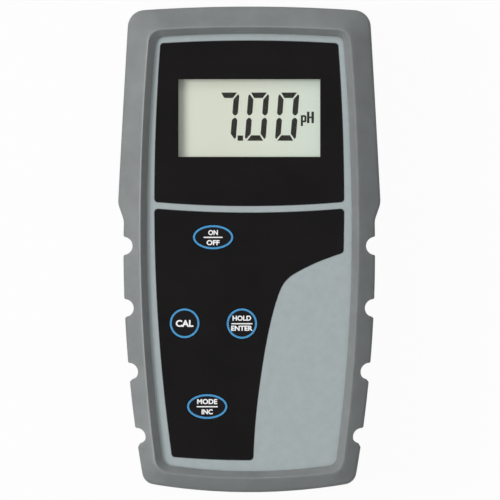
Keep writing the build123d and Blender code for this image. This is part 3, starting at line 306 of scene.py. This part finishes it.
def lettering(name, lines, low, high, material, body, boldness=0.035):
    """Plain bold words, each stretched about its middle: lines are (words, width, height, middle)."""
    shape = bmesh.new()
    for words, width, height, middle in lines:
        text = bpy.data.curves.new(name, "FONT")
        text.body = words
        text.offset = boldness
        text.extrude = 0.5
        text.resolution_u = 4
        holder = bpy.data.objects.new(name, text)
        bpy.context.scene.collection.objects.link(holder)
        seen = holder.evaluated_get(bpy.context.evaluated_depsgraph_get())
        letters = bpy.data.meshes.new_from_object(seen)
        corners = [v.co.copy() for v in letters.vertices]
        lowest = Vector([min(c[k] for c in corners) for k in range(3)])
        size = Vector([max(c[k] for c in corners) for k in range(3)]) - lowest
        for vertex in letters.vertices:
            x, y, z = ((vertex.co[k] - lowest[k]) / size[k] for k in range(3))
            vertex.co = (
                (middle[0] + (x - 0.5) * width) * MM,
                (middle[1] + (y - 0.5) * height) * MM,
                (low + z * (high - low)) * MM,
            )
        shape.from_mesh(letters)
        bpy.data.objects.remove(holder)
        bpy.data.curves.remove(text)
        bpy.data.meshes.remove(letters)
    bmesh.ops.remove_doubles(shape, verts=shape.verts, dist=1e-7)
    return show(name, mesh_of(shape, name, material), body)


def rectangle(x, y, width, height):
    """Corners of an upright rectangle about a middle, in mm."""
    return [
        (x - width / 2, y - height / 2),
        (x + width / 2, y - height / 2),
        (x + width / 2, y + height / 2),
        (x - width / 2, y + height / 2),
    ]


# The case, the boot and what they hold, in the shapes of the CAD nodes

dressed("rubber_boot", "boot_shell", smoky_rubber, crease=40)
dressed("front_housing", "front_case", silver_paint)
dressed("rear_housing", "rear_case", rear_plastic)
dressed("housing_seal", "case_seal", seal_rubber)
dressed("display_overlay", "display_film", black_film)
dressed("keypad_overlay", "keypad_film", black_film)
dressed("display_window", "window_pane", clear_window)
dressed("lcd_frame", "display_frame", frame_plastic)
dressed("lcd_glass", "display_glass", display_face)
dressed("lcd_contact_strips", "display_contacts", contact_rubber)
dressed("main_board", "circuit_board", solder_mask)
dressed("controller_chip", "control_chip", chip_black)
dressed("input_shield", "shield_can", tinned_steel)
dressed("connector_plate", "socket_plate", plate_black)
dressed("probe_socket_shell", "socket_shell", bright_nickel)
dressed("probe_socket_insulator", "socket_insulator", insulator_white)
dressed("probe_socket_contact", "socket_contact", gold_plate)
dressed("probe_socket_washer", "socket_washer", screw_steel)
dressed("probe_socket_nut", "socket_nut", bright_nickel)
dressed("temperature_jack", "jack_body", chip_black)
dressed("temperature_jack_nut", "jack_nut", bright_nickel)
dressed("battery_door", "bay_door", rear_plastic, body="battery_door")
dressed("battery_door_seal", "bay_door_seal", seal_rubber, body="battery_door")
dressed("battery_contacts", "cell_contacts", tinned_steel)
dressed("tilt_stand", "stand_bail", stand_plastic, body="tilt_stand")
dressed("stand_hinge_pin", "hinge_pin", screw_steel)
for key in ("on_off", "cal", "hold_enter", "mode_inc"):
    dressed(key + "_key", key + "_cap", key_film, body=key + "_key")
    dome = dressed(key + "_dome", key + "_snap_dome", spring_steel)
    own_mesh(dome)
dressed("board_crystal", "crystal_can", tinned_steel)
dressed("amplifier_chip", "input_amplifier", chip_black)
dressed("board_sounder", "sounder_can", chip_black)
dressed("signal_leads", "input_leads", lead_sleeve, crease=50)
dressed("board_capacitors", "board_capacitor_cans", capacitor_sleeve)
for number in range(1, CELL_COUNT + 1):
    dressed(f"battery_cell_{number}", f"cell_{number}", cell_sleeve)


# Wound springs and cross-head screws, set out on the solids that stand for them


def islands(node):
    """Boxes in metres of the separate solids in a CAD node."""
    shape = bmesh.new()
    shape.from_mesh(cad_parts[node].data)
    bmesh.ops.remove_doubles(shape, verts=shape.verts, dist=WELD)
    met = set()
    boxes = []
    for start in shape.verts:
        if start in met:
            continue
        met.add(start)
        group = [start]
        for vertex in group:
            for link in vertex.link_edges:
                other = link.other_vert(vertex)
                if other not in met:
                    met.add(other)
                    group.append(other)
        low = Vector([min(v.co[k] for v in group) for k in range(3)])
        high = Vector([max(v.co[k] for v in group) for k in range(3)])
        boxes.append((low, high))
    shape.free()
    return boxes


def tree_with(name, sizes):
    """A Geometry Nodes tree with points in, pieces out and a named number for each size."""
    tree = bpy.data.node_groups.new(name, "GeometryNodeTree")
    tree.interface.new_socket("Points", in_out="INPUT", socket_type="NodeSocketGeometry")
    for size in sizes:
        tree.interface.new_socket(size, in_out="INPUT", socket_type="NodeSocketFloat")
    tree.interface.new_socket("Pieces", in_out="OUTPUT", socket_type="NodeSocketGeometry")
    return tree, tree.nodes.new("NodeGroupInput").outputs


def wired(tree, kind, wires, **settings):
    """A new node with wires as input name to output socket, and its other sockets set by name."""
    node = node_with(tree, kind, **settings)
    for name, output in wires.items():
        tree.links.new(output, node.inputs[name])
    return node


def ends_in(tree, sizes, piece, turn, material):
    """The last nodes of each tree: the piece on every point, made real, in its finish."""
    placed = wired(
        tree, "GeometryNodeInstanceOnPoints", {"Points": sizes["Points"], "Instance": piece}, Rotation=turn
    )
    real = wired(tree, "GeometryNodeRealizeInstances", {"Geometry": placed.outputs["Instances"]})
    finished = wired(
        tree, "GeometryNodeSetMaterial", {"Geometry": real.outputs["Geometry"]}, Material=material
    )
    tree.links.new(finished.outputs["Geometry"], tree.nodes.new("NodeGroupOutput").inputs["Pieces"])


def helix(tree, sizes, radius, wire, rise):
    """Round wire along a helix that starts at the origin and climbs Z."""
    path = wired(
        tree,
        "GeometryNodeCurveSpiral",
        {"Rotations": sizes["Turns"], "Start Radius": radius, "End Radius": radius, "Height": rise},
        Resolution=24,
    )
    section = wired(tree, "GeometryNodeCurvePrimitiveCircle", {"Radius": wire}, Resolution=8)
    curves = {"Curve": path.outputs["Curve"], "Profile Curve": section.outputs["Curve"]}
    return wired(tree, "GeometryNodeCurveToMesh", curves, Fill_Caps=True).outputs["Mesh"]


def spring_tree(material):
    """A wound contact spring, lying along Y."""
    tree, sizes = tree_with("wound_spring", ("Turns", "Radius", "Wire", "Rise"))
    coil = helix(tree, sizes, sizes["Radius"], sizes["Wire"], sizes["Rise"])
    ends_in(tree, sizes, coil, (math.pi / 2, 0, 0), material)
    return tree


def screw_tree(material):
    """A cross-head screw with its head at the point and its thread up Z."""
    head_sizes = ("Head", "Head Face", "Head Height", "Slot", "Slot Width")
    tree, sizes = tree_with("cross_head_screw", head_sizes + ("Turns", "Shank", "Shank Length", "Thread"))
    head = wired(
        tree,
        "GeometryNodeMeshCone",
        {"Radius Bottom": sizes["Head Face"], "Radius Top": sizes["Head"], "Depth": sizes["Head Height"]},
        Vertices=40,
    )
    slots = []
    for width, depth in (("Slot", "Slot Width"), ("Slot Width", "Slot")):
        size = wired(
            tree, "ShaderNodeCombineXYZ", {"X": sizes[width], "Y": sizes[depth], "Z": sizes["Head Height"]}
        )
        slots.append(wired(tree, "GeometryNodeMeshCube", {"Size": size.outputs["Vector"]}))
    recess = wired(tree, "GeometryNodeMeshBoolean", {"Mesh 1": head.outputs["Mesh"]})
    recess.operation = "DIFFERENCE"
    for slot in slots:
        tree.links.new(slot.outputs["Mesh"], recess.inputs["Mesh 2"])
    shank = wired(
        tree,
        "GeometryNodeMeshCone",
        {"Radius Bottom": sizes["Shank"], "Radius Top": sizes["Shank"], "Depth": sizes["Shank Length"]},
        Vertices=24,
    )
    thread = helix(tree, sizes, sizes["Shank"], sizes["Thread"], sizes["Shank Length"])
    below = wired(tree, "GeometryNodeJoinGeometry", {"Geometry": shank.outputs["Mesh"]})
    tree.links.new(thread, below.inputs["Geometry"])
    under_head = wired(tree, "ShaderNodeCombineXYZ", {"Z": sizes["Head Height"]})
    seated = wired(
        tree,
        "GeometryNodeTransform",
        {"Geometry": below.outputs["Geometry"], "Translation": under_head.outputs["Vector"]},
    )
    whole = wired(tree, "GeometryNodeJoinGeometry", {"Geometry": recess.outputs["Mesh"]})
    tree.links.new(seated.outputs["Geometry"], whole.inputs["Geometry"])
    ends_in(tree, sizes, whole.outputs["Geometry"], (0, 0, 0), material)
    return tree


def set_out(name, node, places, tree, sizes, body="meter"):
    """Runs a tree on points in metres and lets what it makes take a CAD node's place."""
    points = bpy.data.meshes.new(name)
    points.from_pydata([tuple(place) for place in places], [], [])
    holder = bpy.data.objects.new(name, points)
    bpy.context.scene.collection.objects.link(holder)
    modifier = holder.modifiers.new(tree.name, "NODES")
    modifier.node_group = tree
    for item in tree.interface.items_tree:
        if item.name in sizes:
            modifier[item.identifier] = sizes[item.name] * (1 if item.name == "Turns" else MM)
    made = bpy.data.meshes.new_from_object(holder.evaluated_get(bpy.context.evaluated_depsgraph_get()))
    bpy.data.objects.remove(holder)
    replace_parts(show(name, made, body), node)


SPRING_WIRE = 0.3
SPRING_TURNS = 4.5
springs = islands("battery_springs")
spring_low, spring_high = springs[0]
spring_length = (spring_high.y - spring_low.y) / MM
set_out(
    "contact_coils",
    "battery_springs",
    [((low.x + high.x) / 2, high.y - SPRING_WIRE * MM, (low.z + high.z) / 2) for low, high in springs],
    spring_tree(spring_steel),
    {
        "Turns": SPRING_TURNS,
        "Radius": (spring_high.x - spring_low.x) / 2 / MM - SPRING_WIRE,
        "Wire": SPRING_WIRE,
        "Rise": spring_length - 2 * SPRING_WIRE,
    },
)

# Each node of screws: the piece's name, its body, the head's height and the thread's radius
SCREWS = {
    "housing_screws": ("case_screws", "meter", 1.8, 1.2),
    "board_screws": ("circuit_board_screws", "meter", 1.3, 0.9),
    "battery_door_screws": ("bay_door_screws", "battery_door", 1.1, 1.2),
}
cross_head = screw_tree(screw_steel)
THREAD_PITCH = 0.8
THREAD_WIRE = 0.14
HEAD_FACE_SHARE = 0.86
SLOT_SHARE = 1.1
SLOT_WIDTH_SHARE = 0.24
for node, (name, body, head_height, shank) in SCREWS.items():
    screws = islands(node)
    low, high = screws[0]
    head = (high.x - low.x) / 2 / MM
    shank_length = (high.z - low.z) / MM - head_height
    set_out(
        name,
        node,
        [((low.x + high.x) / 2, (low.y + high.y) / 2, low.z) for low, high in screws],
        cross_head,
        {
            "Turns": shank_length / THREAD_PITCH,
            "Head": head,
            "Head Face": head * HEAD_FACE_SHARE,
            "Head Height": head_height,
            "Shank": shank - THREAD_WIRE,
            "Shank Length": shank_length,
            "Thread": THREAD_WIRE,
            "Slot": head * SLOT_SHARE,
            "Slot Width": head * SLOT_WIDTH_SHARE,
        },
        body,
    )


# Reading on the display: slanted seven-part digits, a point and the unit

DIGIT_WIDTH = 6.75
DIGIT_HEIGHT = 15.6
BAR = 1.78
SLANT = 0.08
READING_FOOT = 35.1
DIGITS_LEFT = (-11.15, -1.5, 8.25)
POINT_WIDTH, POINT_HEIGHT = 1.75, 1.7
POINT_X = -2.9
INK_THICKNESS = 0.03
BAR_TIP = 0.8
BAR_SHOULDER = 1.98
middle_line = DIGIT_HEIGHT / 2
upper_left = [
    (0, DIGIT_HEIGHT - 1.25),
    (0.14, DIGIT_HEIGHT - 0.8),
    (0.45, DIGIT_HEIGHT - 0.58),
    (BAR, DIGIT_HEIGHT - 2.25),
    (BAR, middle_line + 1.15),
    (BAR - 0.62, middle_line + 0.42),
    (0.55, middle_line + 0.42),
    (0, middle_line + 1.15),
]
top_bar = [
    (BAR_TIP, DIGIT_HEIGHT),
    (DIGIT_WIDTH - BAR_TIP, DIGIT_HEIGHT),
    (DIGIT_WIDTH - BAR_SHOULDER, DIGIT_HEIGHT - BAR),
    (BAR_SHOULDER, DIGIT_HEIGHT - BAR),
]


def across(outline):
    """A digit's bar moved to its other side."""
    return [(DIGIT_WIDTH - x, y) for x, y in outline]


def upside(outline):
    """A digit's bar moved to its other end."""
    return [(x, DIGIT_HEIGHT - y) for x, y in outline]


zero = [
    top_bar,
    across(upper_left),
    upside(across(upper_left)),
    upside(top_bar),
    upside(upper_left),
    upper_left,
]
seven = zero[:3]
unit_stem, unit_bar = 0.8, 0.6
unit = [
    rectangle(17.0, 41.6, 0.7, 3.5),
    rectangle(17.65, 43.1, 0.85, unit_bar),
    rectangle(17.65, 41.35, 0.85, unit_bar),
    rectangle(18.15, 42.2, 0.65, 2.0),
    rectangle(19.05, 42.65, unit_stem, 3.7),
    rectangle(20.5, 42.65, unit_stem, 3.7),
    rectangle(19.8, 42.65, 0.95, 0.55),
]
reading = [
    [(left + x + SLANT * y, READING_FOOT + y) for x, y in bar]
    for digit, left in zip((seven, zero, zero), DIGITS_LEFT)
    for bar in digit
]
reading.append(rectangle(POINT_X, READING_FOOT + POINT_HEIGHT / 2, POINT_WIDTH, POINT_HEIGHT))
glass_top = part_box("lcd_glass")[1].z / MM
ink_top = glass_top + INK_THICKNESS
plates("reading_segments", reading + unit, glass_top, ink_top, display_ink, "meter")


# Printed rings and words on the keys

# Each key's middle and half sizes
KEYS = {
    "on_off": ((-11.7, 3.9), (6.8, 4.2)),
    "cal": ((-20.9, -23.9), (5.1, 5.1)),
    "hold_enter": ((-2.4, -24.0), (5.2, 5.2)),
    "mode_inc": ((-13.6, -50.8), (6.8, 4.3)),
}
# Each key's words with their width, height and rise above its middle
WORDS = {
    "on_off": [("ON", 3.1, 1.65, 1.5), ("OFF", 4.2, 1.65, -1.75)],
    "cal": [("CAL", 5.7, 2.25, -0.05)],
    "hold_enter": [("HOLD", 6.0, 1.65, 1.75), ("ENTER", 6.9, 1.65, -1.5)],
    "mode_inc": [("MODE", 6.5, 1.65, 1.6), ("INC", 3.6, 1.65, -1.7)],
}
RULE_LENGTH = {"on_off": 6.1, "hold_enter": 6.8, "mode_inc": 6.8}
RULE_WIDTH = 0.36
RULE_DROP = 0.05
RING_INSET = 0.32
RING_WIDTH = 0.62
PRINT_DEPTH = 0.02
PRINT_FOOT, PRINT_TOP = FILM_TOP - PRINT_DEPTH, FILM_TOP + PRINT_DEPTH
for key, (centre, half) in KEYS.items():
    body = key + "_key"
    oval_ring(
        key + "_ring",
        centre,
        (half[0] - RING_INSET, half[1] - RING_INSET),
        RING_WIDTH,
        PRINT_FOOT,
        PRINT_TOP,
        blue_ink,
        body,
    )
    lines = [(word, width, height, (centre[0], centre[1] + up)) for word, width, height, up in WORDS[key]]
    lettering(key + "_words", lines, PRINT_FOOT, PRINT_TOP, white_ink, body)
    if key in RULE_LENGTH:
        rule = rectangle(centre[0], centre[1] - RULE_DROP, RULE_LENGTH[key], RULE_WIDTH)
        plates(key + "_rule", [rule], PRINT_FOOT, PRINT_TOP, white_ink, body)


# Stage: floor, world, lamps and camera

FLOOR_REACH = 4.0
FLOOR_TONE = 0.6
FLOOR_GLOW = 0.96
WORLD_LIGHT = 0.2
floor_mesh = bpy.data.meshes.new("floor")
floor_corners = [(x * FLOOR_REACH, y * FLOOR_REACH, 0) for x, y in ((-1, -1), (1, -1), (1, 1), (-1, 1))]
floor_mesh.from_pydata(floor_corners, [], [(0, 1, 2, 3)])
floor = bpy.data.objects.new("floor", floor_mesh)
bpy.context.scene.collection.objects.link(floor)
floor_paper = bpy.data.materials.new("floor_paper")
floor_paper.use_nodes = True
tree = floor_paper.node_tree
paper = tree.nodes["Principled BSDF"]
paper.inputs["Base Color"].default_value = (FLOOR_TONE, FLOOR_TONE, FLOOR_TONE, 1)
paper.inputs["Roughness"].default_value = 0.9
paper.inputs["Specular IOR Level"].default_value = 0.0
seen_by = tree.nodes.new("ShaderNodeLightPath")
glow = node_with(tree, "ShaderNodeEmission", Color=(1, 1, 1, 1), Strength=1.0)
share = tree.nodes.new("ShaderNodeMath")
share.operation = "MULTIPLY"
share.inputs[1].default_value = FLOOR_GLOW
cover = tree.nodes.new("ShaderNodeMixShader")
tree.links.new(seen_by.outputs["Is Camera Ray"], share.inputs[0])
tree.links.new(share.outputs[0], cover.inputs["Fac"])
tree.links.new(paper.outputs["BSDF"], cover.inputs[1])
tree.links.new(glow.outputs["Emission"], cover.inputs[2])
tree.links.new(cover.outputs["Shader"], tree.nodes["Material Output"].inputs["Surface"])
floor_mesh.materials.append(floor_paper)

world = bpy.data.worlds.new("studio")
bpy.context.scene.world = world
world.use_nodes = True
tree = world.node_tree
seen_by = tree.nodes.new("ShaderNodeLightPath")
camera_or_glossy = tree.nodes.new("ShaderNodeMath")
camera_or_glossy.operation = "MAXIMUM"
seen_straight = tree.nodes.new("ShaderNodeMath")
seen_straight.operation = "MAXIMUM"
level = node_with(tree, "ShaderNodeMapRange", To_Min=WORLD_LIGHT, To_Max=1.0)
tree.links.new(seen_by.outputs["Is Camera Ray"], camera_or_glossy.inputs[0])
tree.links.new(seen_by.outputs["Is Glossy Ray"], camera_or_glossy.inputs[1])
tree.links.new(camera_or_glossy.outputs[0], seen_straight.inputs[0])
tree.links.new(seen_by.outputs["Is Transmission Ray"], seen_straight.inputs[1])
tree.links.new(seen_straight.outputs[0], level.inputs["Value"])
tree.nodes["Background"].inputs["Color"].default_value = (1, 1, 1, 1)
tree.links.new(level.outputs["Result"], tree.nodes["Background"].inputs["Strength"])


def softbox(name, towards, share, side, distance=2.2):
    """A square lamp in the direction given, for its share of the light that a level face gets."""
    direction = Vector(towards).normalized()
    lamp = bpy.data.lights.new(name, "AREA")
    lamp.shape = "SQUARE"
    lamp.size = side
    lamp.energy = share * math.pi**2 * distance**2 / direction.z
    holder = bpy.data.objects.new(name, lamp)
    holder.location = direction * distance
    holder.rotation_euler = direction.to_track_quat("Z", "Y").to_euler()
    bpy.context.scene.collection.objects.link(holder)


softbox("left_softbox", (-0.62, 0.08, 0.78), 0.6, 1.1)
softbox("top_end_softbox", (-0.05, 0.68, 0.73), 0.13, 1.0)
softbox("overhead_softbox", (0.1, 0.0, 1.0), 0.08, 1.6, 2.6)

FRAME_WIDTH = 161.5 * MM
CAMERA_HEIGHT = 3.0
CAMERA_ASIDE = 0.23
SENSOR = 36.0
camera = bpy.data.cameras.new("camera")
camera.sensor_width = SENSOR
camera.lens = SENSOR * (CAMERA_HEIGHT - CASE_FACE * MM) / FRAME_WIDTH
camera.clip_start, camera.clip_end = 0.1, 20.0
viewpoint = bpy.data.objects.new("camera", camera)
viewpoint.location = (CAMERA_ASIDE * MM, -CAMERA_ASIDE * MM, CAMERA_HEIGHT)
bpy.context.scene.collection.objects.link(viewpoint)
bpy.context.scene.camera = viewpoint
bpy.context.scene.view_settings.view_transform = "Standard"
